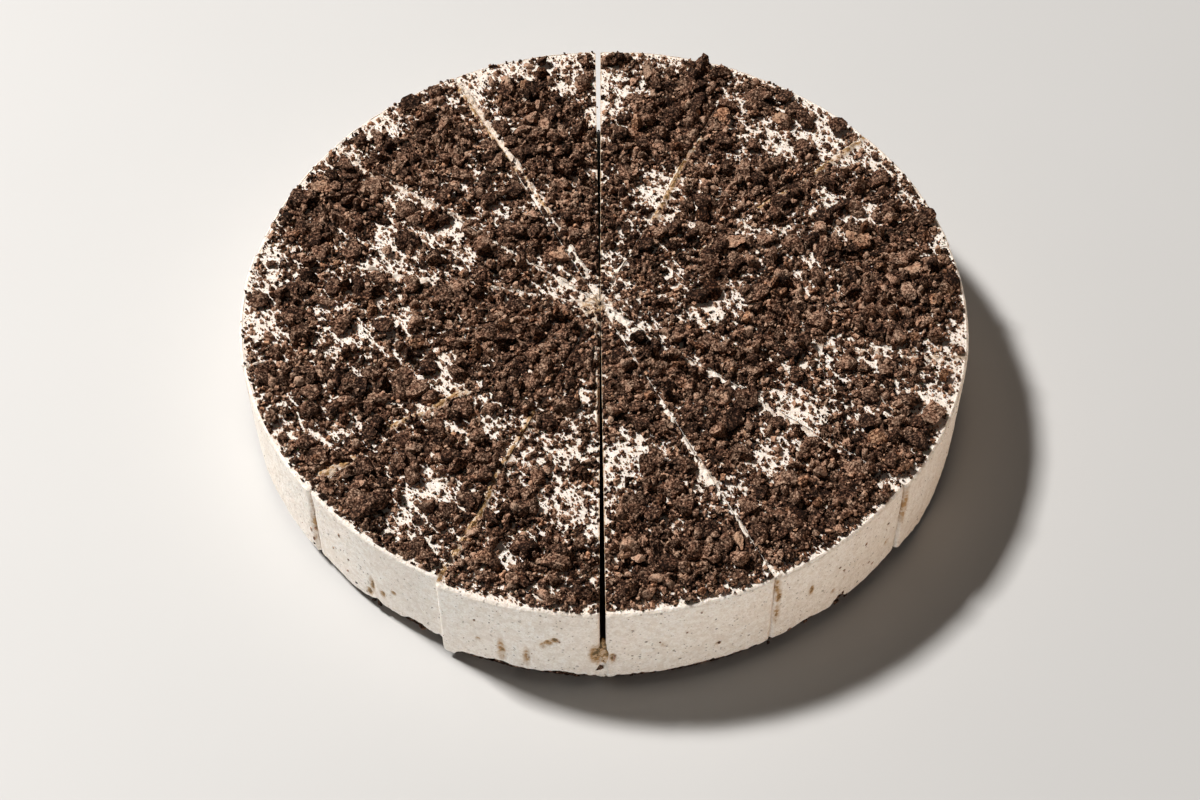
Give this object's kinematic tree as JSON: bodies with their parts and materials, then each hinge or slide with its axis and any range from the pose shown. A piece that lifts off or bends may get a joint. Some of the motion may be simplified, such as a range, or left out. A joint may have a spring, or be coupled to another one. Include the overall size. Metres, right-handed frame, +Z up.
{
  "type": "cookies and cream cheesecake",
  "caption": "Round cookies and cream cheesecake cut into wedges, with a pale speckled filling on a thin crumb crust and a topping of dark cookie crumbs.",
  "frame": {"origin": "centre of the underside of the crust, on the surface that the cake stands on", "axes": "+Z up; the wide open cut runs along Y, with its widest end at -Y, which is the front of the picture; +X to the right of that view"},
  "size_m": [0.2609, 0.2612, 0.0499],
  "materials": {
    "cream": "smooth soft cream filling, off-white with fine dark specks, faint satin sheen",
    "cookie_crumb": "dark brown crushed cookie, rough and dry"
  },
  "bodies": {
    "root": {"crust_01": "cookie_crumb", "crust_02": "cookie_crumb", "crust_03": "cookie_crumb", "crust_04": "cookie_crumb", "crust_05": "cookie_crumb", "crust_06": "cookie_crumb", "crust_07": "cookie_crumb", "crust_08": "cookie_crumb", "crust_09": "cookie_crumb", "crust_10": "cookie_crumb", "crust_11": "cookie_crumb", "crust_12": "cookie_crumb", "crust_13": "cookie_crumb", "crust_14": "cookie_crumb", "filling_01": "cream", "filling_02": "cream", "filling_03": "cream", "filling_04": "cream", "filling_05": "cream", "filling_06": "cream", "filling_07": "cream", "filling_08": "cream", "filling_09": "cream", "filling_10": "cream", "filling_11": "cream", "filling_12": "cream", "filling_13": "cream", "filling_14": "cream"}
  },
  "joints": []
}
